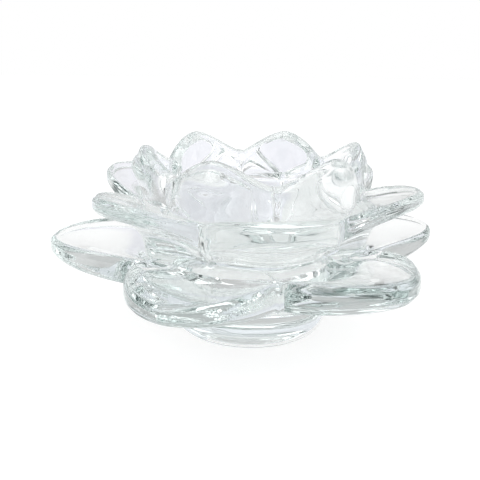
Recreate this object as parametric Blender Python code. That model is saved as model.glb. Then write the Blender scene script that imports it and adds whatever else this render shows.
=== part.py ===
# Lotus candle holder of clear glass: three tiers of six petals set round a cup on a round foot.

import math

import bmesh
import bpy
from mathutils import Vector

MM = 0.001

# Assembly
PETALS = 6
BOND_GAP = 0.3 * MM

# Foot
FOOT_HEIGHT = 20.7 * MM
FOOT_BASE_RADIUS = 30.3 * MM
FOOT_TOP_RADIUS = 33.5 * MM
FOOT_EDGE = 1.4 * MM
FOOT_WAIST = 0.9 * MM
GROUND_RING_WIDTH = 5.0 * MM
RECESS_DEPTH = 3.0 * MM

# Candle cup, a thick disc with a steep well in its top for the tea light
CUP_RADIUS = 27.0 * MM
WELL_RADIUS = 20.5 * MM
WELL_DEPTH = 12.0 * MM
WELL_FILLET = 1.5 * MM
WELL_RIM_DROP = 4.0 * MM

# Lower petals: wide, flat and dished
LOWER_THICKNESS = 12.4 * MM
LOWER_TIP_RADIUS = 75.5 * MM
LOWER_SEAM_RADIUS = 50.2 * MM
LOWER_RIM_RISE = 3.5 * MM
LOWER_RIM_HEIGHT_TIP = 5.6 * MM
LOWER_RIM_HEIGHT_SEAM = 9.2 * MM
LOWER_RIM_ROUNDING = 2.6 * MM
LOWER_DISH_DIP = 2.4 * MM

# Middle petals: a steep hull that opens into a raised, pointed lip
MIDDLE_THICKNESS = 16.3 * MM
MIDDLE_TIP_RADIUS = 63.0 * MM
MIDDLE_SEAM_RADIUS = 43.8 * MM
MIDDLE_KEEL_RADIUS = 44.9 * MM
MIDDLE_SEAM_BASE_RADIUS = 38.9 * MM
MIDDLE_RIM_RISE = 7.3 * MM
MIDDLE_RIM_HEIGHT_TIP = 5.2 * MM
MIDDLE_RIM_HEIGHT_SEAM = 9.2 * MM
MIDDLE_RIM_ROUNDING = 2.2 * MM
MIDDLE_SEAM_ROUNDING = 0.4 * MM
MIDDLE_DISH_DIP = 1.0 * MM

# Upper petals: upright cupped shells that form the crown
UPPER_TURN = math.radians(2.0)
UPPER_VALLEY_HEIGHT = 10.5 * MM
UPPER_PEAK_HEIGHT = 19.4 * MM
UPPER_SEAM_RADIUS = 38.0 * MM
UPPER_SEAM_WALL = 3.4 * MM
UPPER_VALLEY_SWELL = 5.0 * MM
UPPER_FOOT_BULGE = 5.4 * MM
UPPER_BELLY_BULGE = 8.1 * MM
UPPER_PEAK_LEAN = 3.6 * MM
UPPER_RIM_DROOP = 0.5 * MM

# Cavity: it widens by the flare from the crown's foot to its peaks
CAVITY_FLARE = 3.8 * MM
CAVITY_DROP = 3.0 * MM
CAVITY_RUN = 3.2 * MM

# Flat left round the next tier's footprint before a dish begins
SEAT_MARGIN = 0.6 * MM

# How pointed the petals' outlines and the crown's peaks are
OUTLINE_POWER = 1.68
PEAK_POWER = 1.35
PEAK_WAVE_SHARE = 0.4

# Fullness of the curves, as shares of the span that each one covers
ROUND_HANDLE = 0.5523
RECESS_SPREAD = (0.55, 0.85)
RECESS_DROP = 0.55
FOOT_SIDE_RISE = (0.35, 0.70)
FOOT_SIDE_SWEEP = 0.3
SHELF_REACH = 0.35
SHELF_RISE = (0.10, 0.42)
HULL_RISE = (0.50, 0.68)
HULL_FLARE = 0.22
DISH_REACH = (0.28, 0.45)
DISH_FALL = 0.18
BELLY_RISE = 0.30
SHOULDER_FALL = 0.30
SHOULDER_LEAN = 0.45
CAVITY_SLOPE = 0.75
WELL_RUN_SHARE = 0.75
WELL_STEEPNESS = 0.6

# Mesh fineness
TURN_STEPS = 48
PETAL_COLUMNS = 14
CURVE_STEPS = 6
CAVITY_STEPS = 4
EDGE_STEPS = 3
SHARP_ANGLE = math.radians(35.0)
WELD_DISTANCE = 0.01 * MM

# Levels and fits that follow from the dimensions above
SECTOR = 2.0 * math.pi / PETALS
LOWER_TURN = SECTOR / 2
MIDDLE_TURN = 0.0
CROWN_TURN = SECTOR / 2 + UPPER_TURN
ROOT_RADIUS = CUP_RADIUS + BOND_GAP
LOWER_BASE = FOOT_HEIGHT + BOND_GAP
LOWER_TOP = LOWER_BASE + LOWER_THICKNESS
MIDDLE_BASE = LOWER_TOP + BOND_GAP
MIDDLE_TOP = MIDDLE_BASE + MIDDLE_THICKNESS
UPPER_BASE = MIDDLE_TOP + BOND_GAP
CUP_BASE = FOOT_HEIGHT + BOND_GAP
CUP_RIM = MIDDLE_TOP - WELL_RIM_DROP
CUP_FLOOR = CUP_RIM - WELL_DEPTH
CAVITY_MOUTH_RADIUS = UPPER_SEAM_RADIUS - UPPER_SEAM_WALL
CAVITY_LEAN = CAVITY_FLARE / UPPER_PEAK_HEIGHT


def clear_scene():
    for thing in list(bpy.data.objects):
        bpy.data.objects.remove(thing, do_unlink=True)


def glass(name, colour, roughness):
    material = bpy.data.materials.new(name)
    material.use_nodes = True
    shader = material.node_tree.nodes["Principled BSDF"]
    shader.inputs["Base Color"].default_value = (*colour, 1.0)
    shader.inputs["Roughness"].default_value = roughness
    shader.inputs["Metallic"].default_value = 0.0
    shader.inputs["IOR"].default_value = 1.5
    shader.inputs["Transmission Weight"].default_value = 1.0
    return material


# Curves in the (radius, height) plane


def bend(start, first, second, end, steps):
    """Points of a cubic curve after its start, up to and with its end."""
    points = []
    for step in range(1, steps + 1):
        s = step / steps
        weights = ((1 - s) ** 3, 3 * s * (1 - s) ** 2, 3 * s * s * (1 - s), s ** 3)
        radius = sum(w * p[0] for w, p in zip(weights, (start, first, second, end)))
        height = sum(w * p[1] for w, p in zip(weights, (start, first, second, end)))
        points.append((radius, height))
    return points


def between(first, second, share):
    return first + (second - first) * share


def quarter(start, corner, end):
    """A rounded corner from start to end, tangent to both sides of the corner."""
    first = tuple(between(a, c, ROUND_HANDLE) for a, c in zip(start, corner))
    second = tuple(between(b, c, ROUND_HANDLE) for b, c in zip(end, corner))
    return bend(start, first, second, end, EDGE_STEPS)


def lip(inner, bottom, top, outer):
    """A fire-rounded lip from its bottom edge out round the nose and back over its top."""
    middle = (bottom + top) / 2
    nose = quarter((inner, bottom), (outer, bottom), (outer, middle))
    return nose + quarter((outer, middle), (outer, top), (inner, top))


def cavity_radius(height):
    """Radius of the cavity in the crown."""
    return CAVITY_MOUTH_RADIUS + CAVITY_LEAN * (height - UPPER_BASE)


def cavity_wall(root):
    """Wall of the cavity in the middle tier, from its mouth down to the candle cup."""
    mouth = (CAVITY_MOUTH_RADIUS, MIDDLE_TOP)
    first = (mouth[0] - CAVITY_LEAN * CAVITY_DROP, mouth[1] - CAVITY_DROP)
    second = (root[0] + CAVITY_RUN, root[1] + CAVITY_SLOPE * CAVITY_RUN)
    return [mouth] + bend(mouth, first, second, root, CAVITY_STEPS)


# Petal profiles, where side runs from -1 at one joint through 0 at the midline to 1 at the other


def reach(side, tip, seam):
    """How far out the petal goes at this side position."""
    return between(tip, seam, abs(side) ** OUTLINE_POWER)


def side_in_tier(azimuth, first_turn):
    """A direction as a side position in the petal of a tier that lies there."""
    turns = (azimuth - first_turn) / SECTOR + 0.5
    return 2 * (turns - math.floor(turns)) - 1


def hull_foot(side):
    """Radius at which a middle petal's hull stands on the lower tier."""
    swell = (1 + math.cos(math.pi * side)) / 2
    return between(MIDDLE_SEAM_BASE_RADIUS, MIDDLE_KEEL_RADIUS, swell)


def shell_foot(side):
    """Radius at which an upper petal's wall stands on the middle tier."""
    return UPPER_SEAM_RADIUS + UPPER_FOOT_BULGE * (1 - side * side)


def peak_rise(side):
    """Height of the crown's wavy rim, from 0 in a valley to 1 on a peak."""
    wave = (1 + math.cos(math.pi * side)) / 2
    point = 1 - abs(side) ** PEAK_POWER
    return between(point, wave, PEAK_WAVE_SHARE)


def dish(crest, footprint, level, dip):
    """Top surface from the lip's crest down into the dish and in to the flat seat of the next tier."""
    inner_radius = min(footprint + SEAT_MARGIN, crest[0] - SEAT_MARGIN)
    length = crest[0] - inner_radius
    first = (crest[0] - DISH_REACH[0] * length, between(crest[1], level, DISH_FALL))
    second = (inner_radius + DISH_REACH[1] * length, level - dip)
    return bend(crest, first, second, (inner_radius, level), CURVE_STEPS)


def lower_profile(side, azimuth):
    outer = reach(side, LOWER_TIP_RADIUS, LOWER_SEAM_RADIUS)
    spread = 1 - abs(side) ** OUTLINE_POWER
    top = LOWER_TOP + LOWER_RIM_RISE * (1 - (1 - spread) ** 3)
    bottom = top - between(LOWER_RIM_HEIGHT_SEAM, LOWER_RIM_HEIGHT_TIP, spread)
    inner = outer - LOWER_RIM_ROUNDING
    start = (FOOT_TOP_RADIUS, LOWER_BASE)
    length = inner - start[0]
    climb = bottom - LOWER_BASE
    first = (start[0] + SHELF_REACH * length, LOWER_BASE + SHELF_RISE[0] * climb)
    second = (inner - SHELF_REACH * length, bottom - SHELF_RISE[1] * climb)
    seat = hull_foot(side_in_tier(azimuth, MIDDLE_TURN))
    points = [(ROOT_RADIUS, LOWER_BASE), start]
    points += bend(start, first, second, (inner, bottom), CURVE_STEPS)
    points += lip(inner, bottom, top, outer)
    points += dish((inner, top), seat, LOWER_TOP, LOWER_DISH_DIP * (1 - side * side))
    points.append((ROOT_RADIUS, LOWER_TOP))
    return points


def middle_profile(side, azimuth):
    outer = reach(side, MIDDLE_TIP_RADIUS, MIDDLE_SEAM_RADIUS)
    top = MIDDLE_TOP + MIDDLE_RIM_RISE * (1 - side * side)
    bottom = top - between(MIDDLE_RIM_HEIGHT_TIP, MIDDLE_RIM_HEIGHT_SEAM, side ** 4)
    inner = outer - between(MIDDLE_RIM_ROUNDING, MIDDLE_SEAM_ROUNDING, side * side)
    start = (hull_foot(side), MIDDLE_BASE)
    flare = inner - start[0]
    climb = bottom - MIDDLE_BASE
    first = (start[0], MIDDLE_BASE + HULL_RISE[0] * climb)
    second = (start[0] + HULL_FLARE * flare, MIDDLE_BASE + HULL_RISE[1] * climb)
    seat = shell_foot(side_in_tier(azimuth, CROWN_TURN))
    points = [(ROOT_RADIUS, MIDDLE_BASE), start]
    points += bend(start, first, second, (inner, bottom), CURVE_STEPS)
    points += lip(inner, bottom, top, outer)
    points += dish((inner, top), seat, MIDDLE_TOP, MIDDLE_DISH_DIP * (1 - side * side))
    points += cavity_wall((ROOT_RADIUS, CUP_RIM + CAVITY_SLOPE * BOND_GAP))
    return points


def upper_profile(side, azimuth):
    swell = 1 - side * side
    height = between(UPPER_VALLEY_HEIGHT, UPPER_PEAK_HEIGHT, peak_rise(side))
    top = UPPER_BASE + height
    outer = UPPER_SEAM_RADIUS + UPPER_PEAK_LEAN * swell
    inner = cavity_radius(top) - UPPER_VALLEY_SWELL * side * side
    middle = (outer + inner) / 2
    edge = (outer - inner) / 2
    lean = SHOULDER_LEAN * swell
    start = (shell_foot(side), UPPER_BASE)
    first = (UPPER_SEAM_RADIUS + UPPER_BELLY_BULGE * swell, UPPER_BASE + BELLY_RISE * height)
    shoulder = (outer, top - UPPER_RIM_DROOP - edge)
    second = (outer + lean * SHOULDER_FALL * height, shoulder[1] - SHOULDER_FALL * height)
    points = [(CAVITY_MOUTH_RADIUS, UPPER_BASE), start]
    points += bend(start, first, second, shoulder, CURVE_STEPS)
    points += bend(
        shoulder,
        (outer - lean * ROUND_HANDLE * edge, shoulder[1] + ROUND_HANDLE * edge),
        (middle + ROUND_HANDLE * edge, top),
        (middle, top),
        EDGE_STEPS,
    )
    points += quarter((middle, top), (inner, top), (inner, top - edge))
    return points


# Turned profiles, from the axis out and back to it


def foot_profile():
    ring_inner = FOOT_BASE_RADIUS - GROUND_RING_WIDTH
    waist = FOOT_BASE_RADIUS - FOOT_WAIST
    middle = (0.0, RECESS_DEPTH)
    edge_start = (FOOT_BASE_RADIUS - FOOT_EDGE, 0.0)
    side_start = (FOOT_BASE_RADIUS, FOOT_EDGE)
    side_end = (FOOT_TOP_RADIUS, FOOT_HEIGHT)
    points = [middle]
    points += bend(
        middle,
        (RECESS_SPREAD[0] * ring_inner, RECESS_DEPTH),
        (RECESS_SPREAD[1] * ring_inner, RECESS_DROP * RECESS_DEPTH),
        (ring_inner, 0.0),
        CURVE_STEPS,
    )
    points.append(edge_start)
    points += quarter(edge_start, (FOOT_BASE_RADIUS, 0.0), side_start)
    points += bend(
        side_start,
        (waist, FOOT_SIDE_RISE[0] * FOOT_HEIGHT),
        (between(waist, FOOT_TOP_RADIUS, FOOT_SIDE_SWEEP), FOOT_SIDE_RISE[1] * FOOT_HEIGHT),
        side_end,
        CURVE_STEPS,
    )
    points.append((0.0, FOOT_HEIGHT))
    return points


def cup_profile():
    rim = (CUP_RADIUS, CUP_RIM)
    wall_foot = (WELL_RADIUS, CUP_FLOOR + WELL_FILLET)
    run = WELL_RUN_SHARE * CAVITY_RUN
    points = [(0.0, CUP_BASE), (CUP_RADIUS, CUP_BASE), rim]
    points += bend(
        rim,
        (rim[0] - run, rim[1] - CAVITY_SLOPE * run),
        (WELL_RADIUS, between(wall_foot[1], CUP_RIM, WELL_STEEPNESS)),
        wall_foot,
        CURVE_STEPS,
    )
    points += quarter(wall_foot, (WELL_RADIUS, CUP_FLOOR), (WELL_RADIUS - WELL_FILLET, CUP_FLOOR))
    points.append((0.0, CUP_FLOOR))
    return points


# Solids


def new_object(name, mesh_builder, material):
    mesh = bpy.data.meshes.new(name)
    body = bmesh.new()
    mesh_builder(body)
    bmesh.ops.recalc_face_normals(body, faces=body.faces)
    body.to_mesh(mesh)
    body.free()
    mesh.materials.append(material)
    mesh.shade_smooth()
    mesh.set_sharp_from_angle(angle=SHARP_ANGLE)
    made = bpy.data.objects.new(name, mesh)
    bpy.context.scene.collection.objects.link(made)
    return made


def petal_solid(profile, first_turn):
    """Sweeps the profile across one sector, its two end faces flat and parallel to the joints."""

    def build(body):
        columns = []
        for column in range(PETAL_COLUMNS + 1):
            side = 2.0 * column / PETAL_COLUMNS - 1.0
            ring = []
            for radius, height in profile(side, side * SECTOR / 2 + first_turn):
                half = SECTOR / 2 - math.asin(BOND_GAP / 2 / radius)
                angle = side * half
                at = Vector((radius * math.sin(angle), -radius * math.cos(angle), height))
                ring.append(body.verts.new(at))
            columns.append(ring)
        count = len(columns[0])
        for near, far in zip(columns, columns[1:]):
            for k in range(count):
                after = (k + 1) % count
                body.faces.new((near[k], near[after], far[after], far[k]))
        body.faces.new(columns[0])
        body.faces.new(columns[-1])

    return build


def turned_solid(profile):
    """Spins a profile that starts and ends on the axis."""

    def build(body):
        verts = [body.verts.new((radius, 0.0, height)) for radius, height in profile]
        edges = [body.edges.new(pair) for pair in zip(verts, verts[1:])]
        bmesh.ops.spin(
            body,
            geom=verts + edges,
            cent=(0.0, 0.0, 0.0),
            axis=(0.0, 0.0, 1.0),
            angle=2.0 * math.pi,
            steps=TURN_STEPS,
            use_merge=True,
        )
        bmesh.ops.remove_doubles(body, verts=body.verts, dist=WELD_DISTANCE)

    return build


def petal_tier(name, profile, first_turn, material):
    """Sets six copies of one pressed petal side by side round the cup."""
    pattern = new_object(name + "_1", petal_solid(profile, first_turn), material)
    pattern.rotation_euler.z = first_turn
    for number in range(2, PETALS + 1):
        copy = bpy.data.objects.new(name + "_" + str(number), pattern.data)
        copy.rotation_euler.z = first_turn + (number - 1) * SECTOR
        bpy.context.scene.collection.objects.link(copy)


def build_holder():
    clear_scene()
    foot_glass = glass("foot_glass", (0.90, 0.95, 0.94), 0.03)
    cup_glass = glass("cup_glass", (0.94, 0.96, 0.97), 0.02)
    lower_glass = glass("lower_petal_glass", (0.90, 0.95, 0.94), 0.03)
    middle_glass = glass("middle_petal_glass", (0.92, 0.95, 0.95), 0.02)
    upper_glass = glass("upper_petal_glass", (0.94, 0.95, 0.97), 0.02)
    new_object("foot", turned_solid(foot_profile()), foot_glass)
    new_object("candle_cup", turned_solid(cup_profile()), cup_glass)
    petal_tier("lower_petal", lower_profile, LOWER_TURN, lower_glass)
    petal_tier("middle_petal", middle_profile, MIDDLE_TURN, middle_glass)
    petal_tier("upper_petal", upper_profile, CROWN_TURN, upper_glass)


build_holder()
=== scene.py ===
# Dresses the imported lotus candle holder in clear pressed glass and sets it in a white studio.

import math
from typing import NamedTuple

import bpy
from mathutils import Matrix, Vector, noise


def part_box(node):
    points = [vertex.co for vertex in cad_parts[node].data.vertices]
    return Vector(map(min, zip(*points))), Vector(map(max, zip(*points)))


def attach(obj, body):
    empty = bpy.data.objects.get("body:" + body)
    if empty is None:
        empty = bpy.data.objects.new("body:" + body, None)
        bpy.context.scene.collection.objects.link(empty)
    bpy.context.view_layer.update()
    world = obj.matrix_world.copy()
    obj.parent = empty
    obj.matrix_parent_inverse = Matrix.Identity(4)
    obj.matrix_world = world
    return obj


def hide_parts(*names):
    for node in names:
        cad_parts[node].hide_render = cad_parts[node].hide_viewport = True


MM = 0.001

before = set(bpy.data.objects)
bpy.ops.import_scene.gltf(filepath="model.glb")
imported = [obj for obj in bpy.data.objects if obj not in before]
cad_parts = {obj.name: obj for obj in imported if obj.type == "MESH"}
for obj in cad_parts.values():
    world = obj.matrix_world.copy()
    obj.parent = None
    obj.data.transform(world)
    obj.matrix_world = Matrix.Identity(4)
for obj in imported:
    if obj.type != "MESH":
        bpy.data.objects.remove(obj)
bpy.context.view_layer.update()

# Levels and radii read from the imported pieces, with each bond gap closed at its middle
foot_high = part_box("foot")[1]
cup_low, cup_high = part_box("candle_cup")
lower_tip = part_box("lower_petal_2")[1]
middle_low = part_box("middle_petal_1")[0]
upper_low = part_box("upper_petal_1")[0]
HALF_GAP = (cup_low.z - foot_high.z) / 2
FOOT_HEIGHT = foot_high.z + HALF_GAP
FOOT_TOP_RADIUS = foot_high.x
CUP_RADIUS = cup_high.x + HALF_GAP
CUP_RIM = cup_high.z
LOWER_TOP = middle_low.z - HALF_GAP
LOWER_TIP_RADIUS = lower_tip.x
MIDDLE_TOP = upper_low.z - HALF_GAP
MIDDLE_TIP_RADIUS = -middle_low.y

# Where two pieces are bonded they lap by this much, so that no air is left between them
BOND_LAP = 0.02 * MM

# Directions of the first petal of each tier, from the camera's side -Y towards +X
PETALS = 6
SECTOR = 2.0 * math.pi / PETALS
LOWER_TURN = SECTOR / 2
MIDDLE_TURN = 0.0
UPPER_TURN = SECTOR / 2

# Foot; values without MM are shares of its height, of its flare or of its recess
FOOT_BASE_RADIUS = 30.3 * MM
FOOT_EDGE = 1.4 * MM
FOOT_WAIST = 0.9 * MM
FOOT_WAIST_LEVEL = 0.35
FOOT_FLARE = 0.3
FOOT_FLARE_LEVEL = 0.70
GROUND_RING_WIDTH = 5.0 * MM
RECESS_DEPTH = 3.0 * MM
RECESS_FLAT = 0.55
RECESS_TURN = 0.85
RECESS_TURN_DEPTH = 0.55

# Cavity, from the crown's rim down to the floor that carries the tea light
CAVITY_RIM_RADIUS = 36.9 * MM
CAVITY_RIM_HEIGHT = 70.0 * MM
CAVITY_MOUTH_RADIUS = 34.6 * MM
CAVITY_WALL_DROP = 3.0 * MM
CAVITY_RUN = 3.2 * MM
CAVITY_SLOPE = 0.75
WELL_DEPTH = 12.0 * MM
WELL_RADIUS = 20.5 * MM
WELL_FILLET = 1.5 * MM
WELL_RIM_RUN = 0.75
WELL_WALL_RUN = 0.6

# Lower petals; hull runs and climbs are shares of the whole hull
OUTLINE_POWER = 1.68
LOWER_SEAM_RADIUS = 50.2 * MM
LOWER_RIM_RISE = 3.5 * MM
LOWER_RISE_POWER = 3
LOWER_RIM_HEIGHT_TIP = 4.9 * MM
LOWER_RIM_HEIGHT_SEAM = 9.2 * MM
LOWER_RIM_ROUNDING = 2.6 * MM
LOWER_DISH_DIP = 2.4 * MM
LOWER_HULL_RUN = 0.35
LOWER_HULL_FIRST_CLIMB = 0.10
LOWER_HULL_LAST_CLIMB = 0.42

# Middle petals
MIDDLE_SEAM_RADIUS = 43.8 * MM
MIDDLE_KEEL_RADIUS = 44.9 * MM
MIDDLE_SEAM_BASE_RADIUS = 38.9 * MM
MIDDLE_RIM_RISE = 7.3 * MM
MIDDLE_RIM_HEIGHT_TIP = 5.2 * MM
MIDDLE_RIM_HEIGHT_SEAM = 9.2 * MM
MIDDLE_RIM_POWER = 4
MIDDLE_RIM_ROUNDING = 2.2 * MM
MIDDLE_ROUNDING_LOSS = 0.5
MIDDLE_DISH_DIP = 1.0 * MM
MIDDLE_HULL_STEEP = 0.5
MIDDLE_FLARE_RUN = 0.22
MIDDLE_FLARE_CLIMB = 0.68

# Dish of a lower or middle petal, as shares of its length and depth
DISH_SLOPE_RUN = 0.28
DISH_SLOPE_DROP = 0.18
DISH_FLOOR_RUN = 0.45
LEAST_DISH = 0.6 * MM

# Where a single petal's rim is thicker, the extra height ends this sharply at its joints
THICK_POWER = 6

# Upper petals; the crown stands a little to the right of the axis
CROWN_SHIFT = 1.3 * MM
UPPER_VALLEY_HEIGHT = 10.5 * MM
UPPER_PEAK_HEIGHT = 19.4 * MM
UPPER_PEAK_POWER = 1.35
UPPER_WAVE_SHARE = 0.4
UPPER_SEAM_RADIUS = 38.0 * MM
UPPER_FOOT_BULGE = 3.6 * MM
UPPER_BELLY_BULGE = 5.2 * MM
UPPER_BELLY_LEVEL = 0.30
UPPER_PEAK_LEAN = 3.6 * MM
UPPER_LEAN_IN = 0.45
UPPER_VALLEY_SWELL = 5.0 * MM
RIM_DROOP = 0.5 * MM
RIM_DROOP_ON_TOP = 0.15 * MM
RIM_HANDLE = 0.68
SWELLING_RISE = 1.2 * MM
SWELLING_WIDTH = 7.0 * MM
SWELLING_HEIGHT = 3.5 * MM
SWELLING_DROP = 7.0 * MM

# Clear bond at the joints: it fills the notch in the outline and stands up as a bead
NOTCH_FILL = 0.075
BEAD_WIDTH = 1.5 * MM
BEAD_HEIGHT = 0.45 * MM

# How free a point of a profile is to follow the waviness of the glass
FREE = 1.0
BONDED = 0.0
CAVITY_SHARE = 0.02
GROUND_SHARE = 0.001
SEAT_FADE = 2.5 * MM
JOINT_FADE = 4.0 * MM

# Waviness of hand-pressed glass, and ridges that run along a petal's nose
WAVE_HEIGHT = 0.16 * MM
WAVE_LENGTH = 20.0 * MM
RIPPLE_HEIGHT = 0.008 * MM
RIPPLE_LENGTH = 3.6 * MM
RIDGE_HEIGHT = 0.07 * MM
RIDGE_COUNT = 3.5
RIDGE_MARGIN = 0.15
RIDGE_FADE = 0.15
SEED_FADE = 0.25

# Numbers that pick each piece's own stretch of the waviness
FOOT_DRAW = 3
CUP_DRAW = 5
LOWER_DRAW = 11
MIDDLE_DRAW = 31
UPPER_DRAW = 51
DRAW_STEPS = (1.7, 2.3, 3.1)

# Fineness of the visible meshes; near a joint the columns stand at these shares of a half petal
TURN_STEPS = 360
COLUMN_STEPS = 56
CURVE_STEPS = 16
EDGE_STEPS = 12
JOINT_SIDES = (0.0, 0.006, 0.014, 0.024, 0.036, 0.050, 0.066, 0.082)
ROUND_HANDLE = 0.5523
SHARP_ANGLE = math.radians(50.0)


class Petal(NamedTuple):
    """What sets one petal apart. It runs from side -1 at its first joint to side 1 at its last one."""

    reach: float = 0.0
    lift: float = 0.0
    thick_first: float = 0.0
    thick_last: float = 0.0
    dip: float = 0.0
    ridges: float = RIDGE_HEIGHT
    # Seed bubbles: how many, from where to where round the nose, and between which sides
    seeds: float = 0.0
    seeds_round: tuple = (0.0, 0.0)
    seeds_between: tuple = (0.0, 0.0)


LOWER_PETALS = (
    Petal(
        reach=-1.7 * MM, lift=1.0 * MM, thick_first=3.2 * MM, thick_last=2.2 * MM,
        ridges=0.12 * MM, seeds=0.4, seeds_round=(0.65, 0.85), seeds_between=(0.1, 0.9),
    ),
    Petal(reach=-1.3 * MM),
    Petal(reach=-0.3 * MM),
    Petal(reach=-0.3 * MM),
    Petal(
        reach=-0.2 * MM, thick_first=0.3 * MM, thick_last=2.6 * MM,
        ridges=0.06 * MM, seeds=0.8, seeds_round=(0.0, 0.45), seeds_between=(-0.2, 0.95),
    ),
    Petal(
        reach=-1.8 * MM, lift=-1.8 * MM, thick_first=0.4 * MM, thick_last=2.2 * MM,
        ridges=0.06 * MM, seeds=1.5, seeds_round=(0.42, 0.74), seeds_between=(-0.3, 0.92),
    ),
)
MIDDLE_PETALS = (
    Petal(thick_first=3.0 * MM, thick_last=3.0 * MM, dip=1.6 * MM, ridges=0.03 * MM),
    Petal(),
    Petal(),
    Petal(),
    Petal(reach=-1.6 * MM),
    Petal(dip=1.2 * MM, ridges=0.13 * MM),
)
UPPER_PETALS = (
    Petal(ridges=0.0),
    Petal(reach=-0.6 * MM, ridges=0.0),
    Petal(ridges=0.0),
    Petal(ridges=0.0),
    Petal(reach=2.0 * MM, lift=-0.3 * MM, ridges=0.0),
    Petal(ridges=0.0),
)

# Glass; colours are shares of red, green and blue, and a haze is the highest roughness of its clouds
WHITE = (1.0, 1.0, 1.0)
GLASS_IOR = 1.5
DEPTH_TINT = (0.45, 0.60, 0.575)
DEPTH_DENSITY = 4.0
FOOT_TINT = (0.975, 0.985, 0.985)
CUP_TINT = (0.98, 0.985, 0.985)
PETAL_TINT = (0.97, 0.98, 0.98)
CROWN_TINT = (0.975, 0.98, 0.985)
LEAST_HAZE = 0.02
FAINT_HAZE = 0.03
MOST_HAZE = 0.04
CLOUD_SCALE = 45.0
CLOUD_DETAIL = 3.0
TINT_RANGE = (0.3, 0.7)
HAZE_RANGE = (0.45, 0.8)
CORD_SCALE = 160.0
CORD_DETAIL = 2.0
SEED_SCALE = 1200.0
SEED_DEPTH = 15.0
RELIEF_STRENGTH = 0.05
RELIEF_DEPTH = 0.3 * MM


class Stretch(NamedTuple):
    """A stretch of the floor: azimuth and half width in degrees, nearest and farthest radius."""

    azimuth: float
    half_width: float
    near: float
    far: float


class Panel(NamedTuple):
    """A stretch of the room's round wall, in degrees, and its brightness."""

    azimuth: float
    half_width: float
    low: float
    high: float
    brightness: float


# Floor: its glow for the camera and in the glass, painted shade on a stretch to the left, a lavender stretch
# behind
FLOOR_HALF = 2.5
FLOOR_ALBEDO = 0.30
FLOOR_ROUGHNESS = 0.9
FLOOR_GLOW = 0.80
FLOOR_GLOW_IN_GLASS = 0.77
# A stretch of floor to the left glows less in the glass: painted shade
FLOOR_SHADE = Stretch(302, 34, 45.0 * MM, 200.0 * MM)
FLOOR_SHADE_GLOW = 0.20
FLOOR_BEHIND = Stretch(180, 38, 45.0 * MM, 3.0)
FLOOR_BEHIND_TINT = (0.80, 0.80, 0.87)
FLOOR_FADE = 0.1

# The room round the object, and its panels; a later panel covers earlier ones. Panels darker than the
# shade level have the shade's tint, and one that reaches the zenith or a half turn has no edge there
ROOM_LEVEL = 0.62
PANEL_EDGE = 4.0
SHADE_LEVEL = 0.4
SHADE_TINT = (0.75, 1.05, 1.02)
ZENITH = 90
HALF_TURN = 180
BACKDROP = Panel(180, 38, -20, 34, 0.66)
BACKDROP_FOOT = Panel(158, 50, -20, 5, 0.50)
FRONT_SHADE = Panel(350, 50, -20, 24, 0.30)
CAMERA_SIDE = Panel(35, 22, -20, 16, 0.70)
RIGHT_WALL = Panel(92, 32, -20, 16, 0.85)
RIGHT_FLAG = Panel(112, 12, 9, 18, 0.12)
RIGHT_SHADE = Panel(55, 28, 16, 48, 0.36)
LEFT_FLAG = Panel(260, 28, -20, 44, 0.08)
REAR_LEFT_FLAG = Panel(222, 14, 28, 50, 0.03)
FRONT_LEFT_WALL = Panel(318, 26, 24, 48, 0.70)
REAR_RIGHT_WALL = Panel(135, 12, 6, 40, 0.74)
OVERHEAD_BOX = Panel(0, HALF_TURN, 60, ZENITH, 2.2)
FRONT_BOX = Panel(10, 30, 24, 50, 0.96)
PANELS = (
    BACKDROP, BACKDROP_FOOT, FRONT_SHADE, CAMERA_SIDE, RIGHT_WALL, RIGHT_FLAG, RIGHT_SHADE,
    LEFT_FLAG, REAR_LEFT_FLAG, FRONT_LEFT_WALL, REAR_RIGHT_WALL, OVERHEAD_BOX, FRONT_BOX,
)

# Lamps, in metres and watts
KEY_PLACE = (-0.55, -0.35, 0.75)
KEY_SIZE = (0.5, 0.5)
KEY_POWER = 2.4
FILL_PLACE = (0.7, -0.2, 0.5)
FILL_SIZE = (0.4, 0.6)
FILL_POWER = 1.2
LAMP_AIM = (0.0, 0.0, 30.0 * MM)

# Camera, as found from the photo's perspective
CAMERA_AZIMUTH = math.radians(-10.37)
CAMERA_ELEVATION = math.radians(20.53)
CAMERA_DISTANCE = 212.3 * MM
CAMERA_AIM_HEIGHT = 25.0 * MM
CAMERA_ROLL = math.radians(1.08)
CAMERA_FOCAL_PIXELS = 530.8
CAMERA_CENTRE_PIXEL = (250.4, 255.65)
IMAGE_PIXELS = 480
SENSOR_WIDTH = 36.0
NEAR_CLIP = 5.0 * MM

# How often light may pass on inside the glass
GLASS_BOUNCES = 32
GLOSSY_BOUNCES = 12


# Curves in the (radius, height) plane; a third value says how free the surface is there


def bend(start, first, second, end, steps, free=FREE):
    """Points of a cubic curve after its start, up to and with its end."""
    points = []
    for step in range(1, steps + 1):
        s = step / steps
        weights = ((1 - s) ** 3, 3 * s * (1 - s) ** 2, 3 * s * s * (1 - s), s ** 3)
        radius = sum(w * p[0] for w, p in zip(weights, (start, first, second, end)))
        height = sum(w * p[1] for w, p in zip(weights, (start, first, second, end)))
        points.append((radius, height, free))
    return points


def line(start, end, steps, free):
    """Evenly spaced points after start, up to and with end."""
    points = []
    for step in range(1, steps + 1):
        s = step / steps
        points.append((start[0] + s * (end[0] - start[0]), start[1] + s * (end[1] - start[1]), free))
    return points


def quarter(start, corner, end, free=FREE):
    """A rounded corner from start to end, tangent to both sides of the corner."""
    first = tuple(a + ROUND_HANDLE * (c - a) for a, c in zip(start, corner))
    second = tuple(b + ROUND_HANDLE * (c - b) for b, c in zip(end, corner))
    return bend(start, first, second, end, EDGE_STEPS, free)


def bonded_at(point):
    """The same point, as part of a bond."""
    return (point[0], point[1], BONDED)


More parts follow.
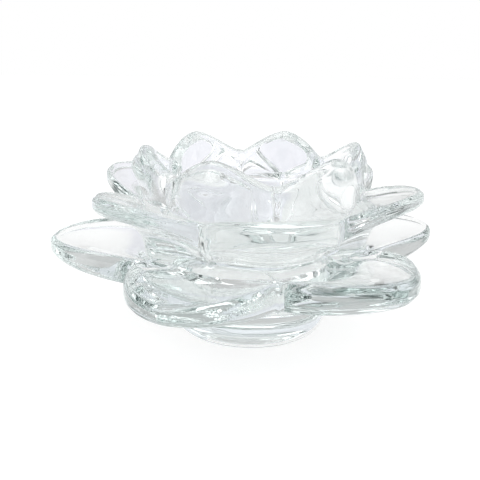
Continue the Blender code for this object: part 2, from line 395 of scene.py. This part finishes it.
def fading(points, last):
    """The same points, ever less free, down to the last one."""
    return [
        (radius, height, FREE - (k + 1) / len(points) * (FREE - last))
        for k, (radius, height, free) in enumerate(points)
    ]


def smooth_step(value):
    """Rises softly from 0 at 0 to 1 at 1."""
    held = min(1.0, max(0.0, value))
    return held * held * (3 - 2 * held)


# Forms of the petals, where side runs from -1 at one joint to 1 at the other


def arch(side):
    """1 in a petal's middle, falling to 0 at its joints."""
    return 1 - side * side


def cosine_arch(side):
    """The same, but level at the joints too."""
    return (1 + math.cos(math.pi * side)) / 2


def filled(side):
    """A side position drawn away from the joints, where clear bond fills the notch between petals."""
    gap = 1 - abs(side)
    if gap < NOTCH_FILL:
        gap = (gap * gap / NOTCH_FILL + NOTCH_FILL) / 2
    return 1 - gap


def reach(side, tip, seam):
    """How far out a petal goes."""
    return tip - (tip - seam) * filled(side) ** OUTLINE_POWER


def hull_foot(side):
    """Radius at which a middle petal's hull stands on the lower tier."""
    return MIDDLE_SEAM_BASE_RADIUS + (MIDDLE_KEEL_RADIUS - MIDDLE_SEAM_BASE_RADIUS) * cosine_arch(side)


def shell_foot(side):
    """Radius at which an upper petal's wall stands on the middle tier."""
    return UPPER_SEAM_RADIUS + UPPER_FOOT_BULGE * arch(side)


def thickening(petal, side):
    """Extra rim height of one petal, which goes from its first to its last joint and ends short of both."""
    along = (1 + side) / 2
    return (petal.thick_first * (1 - along) + petal.thick_last * along) * (1 - side ** THICK_POWER)


def side_in_tier(azimuth, first_turn):
    """A direction as a side position in the petal of a tier that lies there."""
    turns = (azimuth - first_turn) / SECTOR + 0.5
    return 2 * (turns - math.floor(turns)) - 1


def peak_rise(side):
    """Height of the crown's wavy rim, from 0 in a valley to 1 on a peak."""
    point = 1 - abs(side) ** UPPER_PEAK_POWER
    return UPPER_WAVE_SHARE * cosine_arch(side) + (1 - UPPER_WAVE_SHARE) * point


def swelling(side, peak, height):
    """How far the slight swelling under a crown peak stands out."""
    across = side * SECTOR / 2 * UPPER_SEAM_RADIUS / SWELLING_WIDTH
    above = (height - (MIDDLE_TOP + peak - SWELLING_DROP)) / SWELLING_HEIGHT
    return SWELLING_RISE * math.exp(-across ** 2 - above ** 2)


def lip(inner, bottom, top, outer):
    """A fire-rounded lip from its bottom edge out round the nose and back over its top."""
    middle = (bottom + top) / 2
    nose = quarter((inner, bottom), (outer, bottom), (outer, middle))
    return nose + quarter((outer, middle), (outer, top), (inner, top))


def dish(crest, footprint, level, dip):
    """Top surface from the lip's crest down into the dish and in to the foot of the next tier."""
    inner_radius = min(footprint, crest[0] - LEAST_DISH)
    length = crest[0] - inner_radius
    first = (crest[0] - DISH_SLOPE_RUN * length, crest[1] - DISH_SLOPE_DROP * (crest[1] - level))
    second = (inner_radius + DISH_FLOOR_RUN * length, level - dip)
    return bend(crest, first, second, (inner_radius, level), CURVE_STEPS)


def crown_shift(azimuth):
    """How much further out the shifted crown reaches in this direction."""
    return CROWN_SHIFT * math.sin(azimuth)


def cavity_radius(height):
    """Radius of the cavity in the crown."""
    share = (height - MIDDLE_TOP) / (CAVITY_RIM_HEIGHT - MIDDLE_TOP)
    return CAVITY_MOUTH_RADIUS + (CAVITY_RIM_RADIUS - CAVITY_MOUTH_RADIUS) * share


def cavity_wall(azimuth):
    """Wall of the cavity in the middle tier, from its mouth down to the candle cup."""
    mouth = (CAVITY_MOUTH_RADIUS + crown_shift(azimuth), MIDDLE_TOP)
    lean = (CAVITY_RIM_RADIUS - CAVITY_MOUTH_RADIUS) / (CAVITY_RIM_HEIGHT - MIDDLE_TOP)
    first = (mouth[0] - lean * CAVITY_WALL_DROP, mouth[1] - CAVITY_WALL_DROP)
    second = (CUP_RADIUS + CAVITY_RUN, CUP_RIM + CAVITY_SLOPE * CAVITY_RUN)
    end = (CUP_RADIUS, CUP_RIM)
    return [bonded_at(mouth)] + bend(mouth, first, second, end, CURVE_STEPS, CAVITY_SHARE)


# Closed profiles, from the root near the axis out below and back on top. All of them take the same
# values, though the crown's one doesn't need the azimuth


def lower_profile(side, azimuth, petal):
    """A wide, flat petal: a low hull, a thick lip and a dish that ends at the middle tier."""
    outer = reach(side, LOWER_TIP_RADIUS + petal.reach, LOWER_SEAM_RADIUS)
    spread = 1 - abs(side) ** OUTLINE_POWER
    rise = LOWER_RIM_RISE * (1 - (1 - spread) ** LOWER_RISE_POWER)
    top = LOWER_TOP + rise + petal.lift * spread
    height = LOWER_RIM_HEIGHT_SEAM + (LOWER_RIM_HEIGHT_TIP - LOWER_RIM_HEIGHT_SEAM) * spread
    bottom = top - height - thickening(petal, side)
    inner = outer - LOWER_RIM_ROUNDING
    base = FOOT_HEIGHT - BOND_LAP
    start = (FOOT_TOP_RADIUS, base)
    run = LOWER_HULL_RUN * (inner - start[0])
    climb = bottom - base
    first = (start[0] + run, base + LOWER_HULL_FIRST_CLIMB * climb)
    second = (inner - run, bottom - LOWER_HULL_LAST_CLIMB * climb)
    seat = hull_foot(side_in_tier(azimuth, MIDDLE_TURN))
    root = CUP_RADIUS - BOND_LAP
    points = [(root, base, BONDED), bonded_at(start)]
    points += bend(start, first, second, (inner, bottom), CURVE_STEPS)
    points += lip(inner, bottom, top, outer)
    points += dish((inner, top), seat, LOWER_TOP, LOWER_DISH_DIP * arch(side))
    points.append((root, LOWER_TOP, BONDED))
    return points


def middle_profile(side, azimuth, petal):
    """A petal with a steep hull, a raised lip, a shallow dish and the cavity's wall inside."""
    outer = reach(side, MIDDLE_TIP_RADIUS + petal.reach, MIDDLE_SEAM_RADIUS)
    top = MIDDLE_TOP + (MIDDLE_RIM_RISE + petal.lift) * arch(side)
    slimmer = (MIDDLE_RIM_HEIGHT_SEAM - MIDDLE_RIM_HEIGHT_TIP) * (1 - side ** MIDDLE_RIM_POWER)
    bottom = top - (MIDDLE_RIM_HEIGHT_SEAM - slimmer) - thickening(petal, side)
    inner = outer - MIDDLE_RIM_ROUNDING * (1 - MIDDLE_ROUNDING_LOSS * side * side)
    base = LOWER_TOP - BOND_LAP
    start = (hull_foot(side), base)
    flare = inner - start[0]
    climb = bottom - base
    first = (start[0], base + MIDDLE_HULL_STEEP * climb)
    second = (start[0] + MIDDLE_FLARE_RUN * flare, base + MIDDLE_FLARE_CLIMB * climb)
    seat = shell_foot(side_in_tier(azimuth, UPPER_TURN)) + crown_shift(azimuth)
    root = CUP_RADIUS - BOND_LAP
    top_surface = dish((inner, top), seat, MIDDLE_TOP, (MIDDLE_DISH_DIP + petal.dip) * arch(side))
    top_surface[-1] = bonded_at(top_surface[-1])
    wall = cavity_wall(azimuth)
    wall[-1] = (root, wall[-1][1], BONDED)
    points = [(root, base, BONDED), bonded_at(start)]
    points += bend(start, first, second, (inner, bottom), CURVE_STEPS)
    points += lip(inner, bottom, top, outer)
    return points + top_surface + wall


def upper_profile(side, azimuth, petal):
    """An upright, cupped petal with a rounded rim and a straight wall towards the cavity."""
    swell = arch(filled(side))
    peak = UPPER_PEAK_HEIGHT + petal.lift
    height = UPPER_VALLEY_HEIGHT + (peak - UPPER_VALLEY_HEIGHT) * peak_rise(side)
    top = MIDDLE_TOP + height
    base = MIDDLE_TOP - BOND_LAP
    outer = UPPER_SEAM_RADIUS + (UPPER_PEAK_LEAN + petal.reach) * swell
    inner = cavity_radius(top) - UPPER_VALLEY_SWELL * side * side
    middle = (outer + inner) / 2
    edge = (outer - inner) / 2
    lean = UPPER_LEAN_IN * swell
    start = (shell_foot(side), base)
    shoulder = (outer, top - RIM_DROOP - edge)
    run = UPPER_BELLY_LEVEL * height
    first = (UPPER_SEAM_RADIUS + UPPER_BELLY_BULGE * swell, MIDDLE_TOP + run)
    second = (outer + lean * run, shoulder[1] - run)
    hull = bend(start, first, second, shoulder, 2 * CURVE_STEPS)
    crest = (middle, top)
    lowered = (inner, top - edge)
    root = (CAVITY_MOUTH_RADIUS, base)
    points = [bonded_at(root), bonded_at(start)]
    points += [(radius + swelling(side, peak, level), level, free) for radius, level, free in hull]
    points += bend(
        shoulder,
        (outer - lean * RIM_HANDLE * edge, shoulder[1] + RIM_HANDLE * edge),
        (middle + RIM_HANDLE * edge, top - RIM_DROOP_ON_TOP),
        crest,
        EDGE_STEPS,
    )
    points += fading(quarter(crest, (inner, top), lowered), CAVITY_SHARE)
    wall = line(lowered, root, CURVE_STEPS, CAVITY_SHARE)
    return points + wall[:-1]


def foot_profile():
    """From the recess's middle round the ground ring and up the side to the middle of the top."""
    ring_inner = FOOT_BASE_RADIUS - GROUND_RING_WIDTH
    ring_outer = (FOOT_BASE_RADIUS - FOOT_EDGE, 0.0)
    side_start = (FOOT_BASE_RADIUS, FOOT_EDGE)
    side_end = (FOOT_TOP_RADIUS, FOOT_HEIGHT)
    waist = FOOT_BASE_RADIUS - FOOT_WAIST
    middle = (0.0, RECESS_DEPTH)
    recess = bend(
        middle,
        (RECESS_FLAT * ring_inner, RECESS_DEPTH),
        (RECESS_TURN * ring_inner, RECESS_TURN_DEPTH * RECESS_DEPTH),
        (ring_inner, 0.0),
        CURVE_STEPS,
    )
    recess[-1] = (ring_inner, 0.0, GROUND_SHARE)
    flank = bend(
        side_start,
        (waist, FOOT_WAIST_LEVEL * FOOT_HEIGHT),
        (waist + FOOT_FLARE * (FOOT_TOP_RADIUS - waist), FOOT_FLARE_LEVEL * FOOT_HEIGHT),
        side_end,
        CURVE_STEPS,
    )
    flank[-1] = bonded_at(side_end)
    ground = [(*ring_outer, GROUND_SHARE)]
    ground += quarter(ring_outer, (FOOT_BASE_RADIUS, 0.0), side_start, GROUND_SHARE)
    return [(*middle, FREE)] + recess + ground + flank + [(0.0, FOOT_HEIGHT, BONDED)]


def cup_profile():
    """From the middle of the underside up the side and down the well's wall to its floor."""
    base = FOOT_HEIGHT - BOND_LAP
    floor = CUP_RIM - WELL_DEPTH
    rim = (CUP_RADIUS, CUP_RIM)
    run = WELL_RIM_RUN * CAVITY_RUN
    first = (rim[0] - run, rim[1] - CAVITY_SLOPE * run)
    wall_foot = (WELL_RADIUS, floor + WELL_FILLET)
    second = (WELL_RADIUS, wall_foot[1] + WELL_WALL_RUN * (CUP_RIM - wall_foot[1]))
    toe = (WELL_RADIUS - WELL_FILLET, floor)
    points = [(0.0, base, BONDED), (CUP_RADIUS, base, BONDED), bonded_at(rim)]
    points += bend(rim, first, second, wall_foot, CURVE_STEPS, CAVITY_SHARE)
    points += quarter(wall_foot, (WELL_RADIUS, floor), toe, CAVITY_SHARE)
    return points + line(toe, (0.0, floor), CURVE_STEPS, CAVITY_SHARE)


# Meshes


def side_positions():
    """Even steps across the petal, with finer ones where the joint edges are rounded."""
    inner_limit = 1.0 - JOINT_SIDES[-1]
    even = [inner_limit * (2.0 * k / COLUMN_STEPS - 1.0) for k in range(COLUMN_STEPS + 1)]
    ends = [1.0 - s for s in JOINT_SIDES[:-1]]
    return [-s for s in ends] + even + ends[::-1]


def bead_rise(distance):
    """How far the clear bead along a joint stands up at this distance from the joint's face."""
    if distance >= BEAD_WIDTH:
        return 0.0
    return BEAD_HEIGHT * math.cos(0.5 * math.pi * distance / BEAD_WIDTH) ** 2


def nose_share(k):
    """How far round a petal's nose a point of its profile lies, from 0 below to 1 on top."""
    return (k - 2 - CURVE_STEPS) / (2 * EDGE_STEPS)


def ridge_rise(k, petal):
    """How far the ridges that run along a petal's nose stand up at a point of its profile."""
    share = nose_share(k)
    if not -RIDGE_MARGIN < share < 1 + RIDGE_MARGIN:
        return 0.0
    ends = smooth_step(min(share + RIDGE_MARGIN, 1 + RIDGE_MARGIN - share) / RIDGE_MARGIN)
    return petal.ridges * ends * math.sin(2 * math.pi * RIDGE_COUNT * share)


def seed_share(k, side, petal):
    """How many seed bubbles a petal has at a point of its profile: a band round its nose."""
    if not petal.seeds_round[0] <= nose_share(k) < petal.seeds_round[1]:
        return 0.0
    first, last = petal.seeds_between
    return petal.seeds * smooth_step((side - first) / SEED_FADE) * smooth_step((last - side) / SEED_FADE)


def distances_from_bond(points):
    """How far along the profile each point lies from the last bonded one before it."""
    walked = 0.0
    distances = []
    before = points[0]
    for point in points:
        walked += math.hypot(point[0] - before[0], point[1] - before[1])
        if point[2] == BONDED:
            walked = 0.0
        distances.append(walked)
        before = point
    return distances


def seat_fades(points):
    """Shares that fall to 0 where the profile's free stretches come near a bond."""
    after_bond = distances_from_bond(points)
    before_bond = distances_from_bond(points[::-1])[::-1]
    return [smooth_step(min(a, b) / SEAT_FADE) for a, b in zip(after_bond, before_bond)]


def raised(points, rises):
    """The profile with its free stretches raised square to it, and bound near its bonds."""
    fades = seat_fades(points)
    moved = []
    for k, (radius, height, free) in enumerate(points):
        before = points[k - 1]
        after = points[(k + 1) % len(points)]
        along = Vector((after[0] - before[0], after[1] - before[1])).normalized()
        rise = rises[k] * free * fades[k]
        moved.append((radius + rise * along.y, height - rise * along.x, free * fades[k]))
    return moved


def new_piece(name, verts, faces, bonds, free, seeds, draw):
    """A smooth mesh whose free surface carries the waviness of pressed glass."""
    mesh = bpy.data.meshes.new(name)
    mesh.from_pydata(verts, [], faces)
    mesh.update()
    normals = [Vector(v.normal) for v in mesh.vertices]
    offset = Vector([draw * step for step in DRAW_STEPS])
    for vertex, normal, share in zip(mesh.vertices, normals, free):
        at = vertex.co
        wave = noise.noise(at / WAVE_LENGTH + offset)
        ripple = noise.noise(at / RIPPLE_LENGTH - offset)
        vertex.co = at + normal * share * (WAVE_HEIGHT * wave + RIPPLE_HEIGHT * ripple)
    mesh.shade_smooth()
    mesh.set_sharp_from_angle(angle=SHARP_ANGLE)
    marks = mesh.attributes.new("bond", "FLOAT", "FACE")
    for face, bond in zip(marks.data, bonds):
        face.value = 1.0 if bond else 0.0
    bubbles = mesh.attributes.new("seeds", "FLOAT", "POINT")
    for point, share in zip(bubbles.data, seeds):
        point.value = share
    piece = bpy.data.objects.new(name, mesh)
    bpy.context.scene.collection.objects.link(piece)
    return piece


def petal_piece(name, profile, petal, turn, draw, shift):
    """A petal's profile, swept across its sector between two flat joint faces."""
    half = SECTOR / 2
    sides = side_positions()
    rings = [profile(side, side * half + turn, petal) for side in sides]
    count = len(rings[0])
    bonded = [rings[0][k][2] == rings[0][(k + 1) % count][2] == BONDED for k in range(count)]
    verts = []
    free = []
    seeds = []
    for side, ring in zip(sides, rings):
        gap = 1 - abs(side)
        fade = smooth_step(gap / RIDGE_FADE)
        beads = [bead_rise(gap * half * point[0]) for point in ring]
        rises = [bead + ridge_rise(k, petal) * fade for k, bead in enumerate(beads)]
        for k, (radius, height, share) in enumerate(raised(ring, rises)):
            angle = side * (half + BOND_LAP / radius) + turn
            verts.append((radius * math.sin(angle) + shift, -radius * math.cos(angle), height))
            free.append(share * smooth_step(gap * half * radius / JOINT_FADE))
            seeds.append(seed_share(k, side, petal))
    faces = []
    bonds = []
    for column in range(len(sides) - 1):
        near = column * count
        far = near + count
        for k in range(count):
            after = (k + 1) % count
            faces.append((near + k, far + k, far + after, near + after))
        bonds += bonded
    last = (len(sides) - 1) * count
    faces.append(tuple(range(count)))
    faces.append(tuple(last + k for k in reversed(range(count))))
    bonds += [True, True]
    return new_piece(name, verts, faces, bonds, free, seeds, draw)


def turned_piece(name, profile, draw):
    """Spins a profile whose first and last points lie on the axis."""
    ring = profile[1:-1]
    count = len(ring)
    verts = [(0.0, 0.0, profile[0][1]), (0.0, 0.0, profile[-1][1])]
    free = [profile[0][2], profile[-1][2]]
    bonded = [before[2] == after[2] == BONDED for before, after in zip(profile, profile[1:])]
    for step in range(TURN_STEPS):
        angle = 2.0 * math.pi * step / TURN_STEPS
        for radius, height, share in ring:
            verts.append((radius * math.cos(angle), radius * math.sin(angle), height))
            free.append(share)
    faces = []
    bonds = []
    for step in range(TURN_STEPS):
        near = 2 + step * count
        far = 2 + (step + 1) % TURN_STEPS * count
        faces.append((0, far, near))
        faces.append((1, near + count - 1, far + count - 1))
        bonds += [bonded[0], bonded[-1]]
        for k in range(count - 1):
            faces.append((near + k, far + k, far + k + 1, near + k + 1))
        bonds += bonded[1:-1]
    return new_piece(name, verts, faces, bonds, free, [0.0] * len(verts), draw)


# Steps of a material, which take outputs of other steps or plain values


def feed(tree, socket, value):
    """Links an output to the socket, or writes a plain value on it."""
    if isinstance(value, bpy.types.NodeSocket):
        tree.links.new(value, socket)
    else:
        socket.default_value = value


def calculate(tree, operation, *values):
    step = tree.nodes.new("ShaderNodeMath")
    step.operation = operation
    for socket, value in zip(step.inputs, values):
        feed(tree, socket, value)
    return step.outputs[0]


def ranged(tree, value, source, target):
    """Takes a value from the source range to the target range."""
    step = tree.nodes.new("ShaderNodeMapRange")
    feed(tree, step.inputs["Value"], value)
    feed(tree, step.inputs["From Min"], source[0])
    feed(tree, step.inputs["From Max"], source[1])
    feed(tree, step.inputs["To Min"], target[0])
    feed(tree, step.inputs["To Max"], target[1])
    return step


def smooth_mask(tree, value, start, end):
    """Rises softly from 0 at start to 1 at end."""
    step = ranged(tree, value, (start, end), (0.0, 1.0))
    step.interpolation_type = "SMOOTHSTEP"
    return step.outputs["Result"]


def colour_mix(tree, share, first, second):
    step = tree.nodes.new("ShaderNodeMix")
    step.data_type = "RGBA"
    colours = [socket for socket in step.inputs if socket.type == "RGBA"]
    feed(tree, step.inputs["Factor"], share)
    feed(tree, colours[0], first)
    feed(tree, colours[1], second)
    return [socket for socket in step.outputs if socket.type == "RGBA"][0]


def attribute(tree, name):
    step = tree.nodes.new("ShaderNodeAttribute")
    step.attribute_name = name
    return step.outputs["Fac"]


def noise_texture(tree, place, scale, detail):
    step = tree.nodes.new("ShaderNodeTexNoise")
    feed(tree, step.inputs["Vector"], place)
    feed(tree, step.inputs["Scale"], scale)
    feed(tree, step.inputs["Detail"], detail)
    return step.outputs["Fac"]


def vector_step(tree, operation, *vectors):
    step = tree.nodes.new("ShaderNodeVectorMath")
    step.operation = operation
    for socket, vector in zip(step.inputs, vectors):
        feed(tree, socket, vector)
    return step


def level_and_height(tree, vector):
    """Splits a vector into its level part and its height."""
    parts = tree.nodes.new("ShaderNodeSeparateXYZ")
    feed(tree, parts.inputs["Vector"], vector)
    level = tree.nodes.new("ShaderNodeCombineXYZ")
    feed(tree, level.inputs["X"], parts.outputs["X"])
    feed(tree, level.inputs["Y"], parts.outputs["Y"])
    return level.outputs["Vector"], parts.outputs["Z"]


def azimuth_mask(tree, way, azimuth, half_width):
    """1 where the way is near an azimuth, counted from -Y towards +X, fading at both edges."""
    turn = math.radians(azimuth)
    facing = vector_step(tree, "DOT_PRODUCT", way, (math.sin(turn), -math.cos(turn), 0.0))
    outside = math.cos(math.radians(half_width + PANEL_EDGE))
    inside = math.cos(math.radians(half_width - PANEL_EDGE))
    return smooth_mask(tree, facing.outputs["Value"], outside, inside)


# Glass


def glass_relief(tree, place):
    """Fine cords all over, and the dimples of seed bubbles where the mesh has them."""
    bubbles = tree.nodes.new("ShaderNodeTexVoronoi")
    bubbles.feature = "F1"
    feed(tree, bubbles.inputs["Vector"], place)
    feed(tree, bubbles.inputs["Scale"], SEED_SCALE)
    dimples = calculate(tree, "MULTIPLY", bubbles.outputs["Distance"], attribute(tree, "seeds"))
    cords = noise_texture(tree, place, CORD_SCALE, CORD_DETAIL)
    bump = tree.nodes.new("ShaderNodeBump")
    feed(tree, bump.inputs["Strength"], RELIEF_STRENGTH)
    feed(tree, bump.inputs["Distance"], RELIEF_DEPTH)
    feed(tree, bump.inputs["Height"], calculate(tree, "MULTIPLY_ADD", dimples, SEED_DEPTH, cords))
    return bump.outputs["Normal"]


def glass(name, tint, haze_limit):
    """Clear glass: faint tint and haze in clouds, fine cords, and bonds that light crosses unbent."""
    material = bpy.data.materials.new(name)
    material.use_nodes = True
    tree = material.node_tree
    shader = tree.nodes["Principled BSDF"]
    shader.inputs["Transmission Weight"].default_value = 1.0
    shader.inputs["IOR"].default_value = GLASS_IOR
    place = tree.nodes.new("ShaderNodeTexCoord").outputs["Object"]
    bond = attribute(tree, "bond")
    bending = ranged(tree, bond, (0.0, 1.0), (GLASS_IOR, 1.0))
    feed(tree, shader.inputs["IOR"], bending.outputs["Result"])

    cloud = noise_texture(tree, place, CLOUD_SCALE, CLOUD_DETAIL)
    tones = tree.nodes.new("ShaderNodeValToRGB")
    for stop, position, colour in zip(tones.color_ramp.elements, TINT_RANGE, (tint, WHITE)):
        stop.position = position
        stop.color = (*colour, 1.0)
    feed(tree, tones.inputs["Fac"], cloud)
    surface = colour_mix(tree, bond, tones.outputs["Color"], (*WHITE, 1.0))
    feed(tree, shader.inputs["Base Color"], surface)

    haze = ranged(tree, cloud, HAZE_RANGE, (0.0, haze_limit))
    exposed = calculate(tree, "SUBTRACT", 1.0, bond)
    roughness = calculate(tree, "MULTIPLY", haze.outputs["Result"], exposed)
    feed(tree, shader.inputs["Roughness"], roughness)
    feed(tree, shader.inputs["Normal"], glass_relief(tree, place))

    depth = tree.nodes.new("ShaderNodeVolumeAbsorption")
    feed(tree, depth.inputs["Color"], (*DEPTH_TINT, 1.0))
    feed(tree, depth.inputs["Density"], DEPTH_DENSITY)
    feed(tree, tree.nodes["Material Output"].inputs["Volume"], depth.outputs["Volume"])
    return material


# Pieces


def dress(piece, node, material):
    piece.data.materials.append(material)
    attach(piece, "root")
    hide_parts(node)


def foot():
    material = glass("foot_glass", FOOT_TINT, FAINT_HAZE)
    dress(turned_piece("foot_glass", foot_profile(), FOOT_DRAW), "foot", material)


def candle_cup():
    material = glass("cup_glass", CUP_TINT, LEAST_HAZE)
    dress(turned_piece("candle_cup_glass", cup_profile(), CUP_DRAW), "candle_cup", material)


def petal_tier(tier, profile, petals, first_turn, material, draw, shift=0.0):
    for number, petal in enumerate(petals):
        node = tier + "_" + str(number + 1)
        turn = first_turn + number * SECTOR
        piece = petal_piece(node + "_glass", profile, petal, turn, draw + number, shift)
        dress(piece, node, material)


def lower_tier():
    material = glass("lower_petal_glass", PETAL_TINT, MOST_HAZE)
    petal_tier("lower_petal", lower_profile, LOWER_PETALS, LOWER_TURN, material, LOWER_DRAW)


def middle_tier():
    material = glass("middle_petal_glass", PETAL_TINT, FAINT_HAZE)
    petal_tier("middle_petal", middle_profile, MIDDLE_PETALS, MIDDLE_TURN, material, MIDDLE_DRAW)


def crown():
    material = glass("upper_petal_glass", CROWN_TINT, FAINT_HAZE)
    petal_tier("upper_petal", upper_profile, UPPER_PETALS, UPPER_TURN, material, UPPER_DRAW, CROWN_SHIFT)


# Studio


def floor_mask(tree, stretch):
    """1 on a stretch of the floor, fading over its edges."""
    place = tree.nodes.new("ShaderNodeNewGeometry").outputs["Position"]
    level = level_and_height(tree, place)[0]
    away = vector_step(tree, "LENGTH", level).outputs["Value"]
    way = vector_step(tree, "NORMALIZE", level).outputs["Vector"]
    across = azimuth_mask(tree, way, stretch.azimuth, stretch.half_width)
    after = smooth_mask(tree, away, (1 - FLOOR_FADE) * stretch.near, (1 + FLOOR_FADE) * stretch.near)
    before = smooth_mask(tree, away, (1 + FLOOR_FADE) * stretch.far, (1 - FLOOR_FADE) * stretch.far)
    return calculate(tree, "MULTIPLY", across, calculate(tree, "MULTIPLY", after, before))


def floor_material():
    """A pale floor that glows a little, more for the camera than for what the glass shows of it, with
    painted shade in the glass on a stretch to the left.
    """
    material = bpy.data.materials.new("studio_floor")
    material.use_nodes = True
    tree = material.node_tree
    shader = tree.nodes["Principled BSDF"]
    shader.inputs["Base Color"].default_value = (FLOOR_ALBEDO, FLOOR_ALBEDO, FLOOR_ALBEDO, 1.0)
    shader.inputs["Roughness"].default_value = FLOOR_ROUGHNESS
    shader.inputs["Specular IOR Level"].default_value = 0.0
    path = tree.nodes.new("ShaderNodeLightPath")
    in_glass = calculate(tree, "MAXIMUM", path.outputs["Is Glossy Ray"], path.outputs["Is Transmission Ray"])
    # Painted shade: the stretch to the left glows less in the glass
    shade = floor_mask(tree, FLOOR_SHADE)
    glow = ranged(tree, shade, (0.0, 1.0), (FLOOR_GLOW_IN_GLASS, FLOOR_SHADE_GLOW)).outputs["Result"]
    glow_in_glass = calculate(tree, "MULTIPLY", in_glass, glow)
    strength = calculate(tree, "MULTIPLY_ADD", path.outputs["Is Camera Ray"], FLOOR_GLOW, glow_in_glass)
    behind = calculate(tree, "MULTIPLY", floor_mask(tree, FLOOR_BEHIND), in_glass)
    tint = colour_mix(tree, behind, (*WHITE, 1.0), (*FLOOR_BEHIND_TINT, 1.0))
    feed(tree, shader.inputs["Emission Color"], tint)
    feed(tree, shader.inputs["Emission Strength"], strength)
    return material


def studio_floor():
    mesh = bpy.data.meshes.new("studio_floor")
    signs = ((-1, -1), (1, -1), (1, 1), (-1, 1))
    mesh.from_pydata([(x * FLOOR_HALF, y * FLOOR_HALF, 0) for x, y in signs], [], [(0, 1, 2, 3)])
    floor = bpy.data.objects.new("studio_floor", mesh)
    bpy.context.scene.collection.objects.link(floor)
    mesh.materials.append(floor_material())


def panel_mask(tree, way, rise, panel):
    """1 on the panel's stretch of the round wall, fading over its edges."""
    edge = PANEL_EDGE / 2
    below = math.sin(math.radians(panel.low - edge))
    mask = smooth_mask(tree, rise, below, math.sin(math.radians(panel.low + edge)))
    if panel.high < ZENITH:
        above = math.sin(math.radians(panel.high + edge))
        top = smooth_mask(tree, rise, above, math.sin(math.radians(panel.high - edge)))
        mask = calculate(tree, "MULTIPLY", mask, top)
    if panel.half_width < HALF_TURN:
        across = azimuth_mask(tree, way, panel.azimuth, panel.half_width)
        mask = calculate(tree, "MULTIPLY", mask, across)
    return mask


def shaded(brightness, tint):
    """A colour of this brightness, with its alpha."""
    return (*(brightness * share for share in tint), 1.0)


def studio_world():
    """A white backdrop behind, white cards, softboxes and black flags round the object."""
    world = bpy.data.worlds.new("studio")
    bpy.context.scene.world = world
    world.use_nodes = True
    tree = world.node_tree
    background = tree.nodes["Background"]
    place = tree.nodes.new("ShaderNodeTexCoord").outputs["Generated"]
    level, rise = level_and_height(tree, place)
    way = vector_step(tree, "NORMALIZE", level).outputs["Vector"]
    light = shaded(ROOM_LEVEL, WHITE)
    for panel in PANELS:
        tint = SHADE_TINT if panel.brightness < SHADE_LEVEL else WHITE
        mask = panel_mask(tree, way, rise, panel)
        light = colour_mix(tree, mask, light, shaded(panel.brightness, tint))
    path = tree.nodes.new("ShaderNodeLightPath")
    seen = colour_mix(tree, path.outputs["Is Camera Ray"], light, (*WHITE, 1.0))
    feed(tree, background.inputs["Color"], seen)
    background.inputs["Strength"].default_value = 1.0


def area_lamp(name, place, size, power):
    data = bpy.data.lights.new(name, "AREA")
    data.shape = "RECTANGLE"
    data.size = size[0]
    data.size_y = size[1]
    data.energy = power
    lamp = bpy.data.objects.new(name, data)
    lamp.location = place
    aim = Vector(LAMP_AIM) - Vector(place)
    lamp.rotation_euler = aim.to_track_quat("-Z", "Y").to_euler()
    bpy.context.scene.collection.objects.link(lamp)


def camera():
    data = bpy.data.cameras.new("camera")
    eye = bpy.data.objects.new("camera", data)
    bpy.context.scene.collection.objects.link(eye)
    back = Vector((
        math.sin(CAMERA_AZIMUTH) * math.cos(CAMERA_ELEVATION),
        -math.cos(CAMERA_AZIMUTH) * math.cos(CAMERA_ELEVATION),
        math.sin(CAMERA_ELEVATION),
    ))
    right = Vector((math.cos(CAMERA_AZIMUTH), math.sin(CAMERA_AZIMUTH), 0.0))
    up = back.cross(right)
    turn = Matrix((right, up, back)).transposed().to_4x4()
    place = Matrix.Translation(Vector((0.0, 0.0, CAMERA_AIM_HEIGHT)) + back * CAMERA_DISTANCE)
    eye.matrix_world = place @ turn @ Matrix.Rotation(CAMERA_ROLL, 4, "Z")
    data.sensor_width = SENSOR_WIDTH
    data.lens = CAMERA_FOCAL_PIXELS / IMAGE_PIXELS * data.sensor_width
    data.shift_x = (IMAGE_PIXELS / 2 - CAMERA_CENTRE_PIXEL[0]) / IMAGE_PIXELS
    data.shift_y = (CAMERA_CENTRE_PIXEL[1] - IMAGE_PIXELS / 2) / IMAGE_PIXELS
    data.clip_start = NEAR_CLIP
    bpy.context.scene.camera = eye


foot()
candle_cup()
lower_tier()
middle_tier()
crown()
studio_floor()
studio_world()
area_lamp("key_softbox", KEY_PLACE, KEY_SIZE, KEY_POWER)
area_lamp("fill_softbox", FILL_PLACE, FILL_SIZE, FILL_POWER)
camera()

scene = bpy.context.scene
scene.cycles.max_bounces = GLASS_BOUNCES
scene.cycles.transmission_bounces = GLASS_BOUNCES
scene.cycles.glossy_bounces = GLOSSY_BOUNCES
scene.view_settings.view_transform = "Standard"
